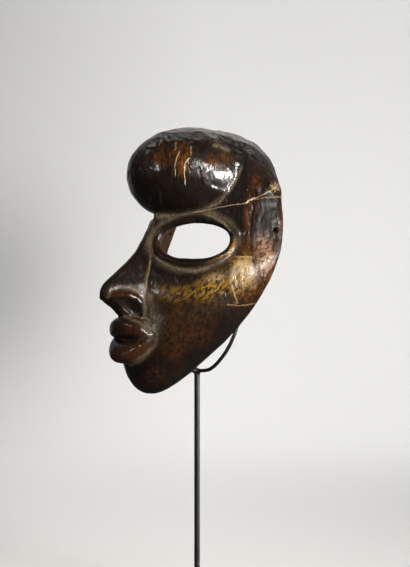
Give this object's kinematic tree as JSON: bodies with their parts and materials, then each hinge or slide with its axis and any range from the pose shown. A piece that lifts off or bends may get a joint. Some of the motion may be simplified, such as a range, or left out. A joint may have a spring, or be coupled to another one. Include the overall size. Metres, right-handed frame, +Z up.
{
  "type": "wooden mask on stand",
  "caption": "Carved dark wooden face mask, hollow behind, with a ball-shaped forehead, open oval eyes, narrow nose and full lips, held by a wire cradle on a slim rod with a square foot.",
  "frame": {"origin": "centre of the base plate's underside, straight below the rod", "axes": "+Z up along the rod, the mask faces -Y and +X is the mask's own left side"},
  "size_m": [0.1798, 0.1787, 0.4423],
  "materials": {
    "mask_wood": "dark polished patina over worn brown wood",
    "stand_steel": "satin black",
    "base_steel": "satin black"
  },
  "bodies": {
    "root": {"mask": "mask_wood", "display_rod": "stand_steel", "base_plate": "base_steel"}
  },
  "joints": []
}
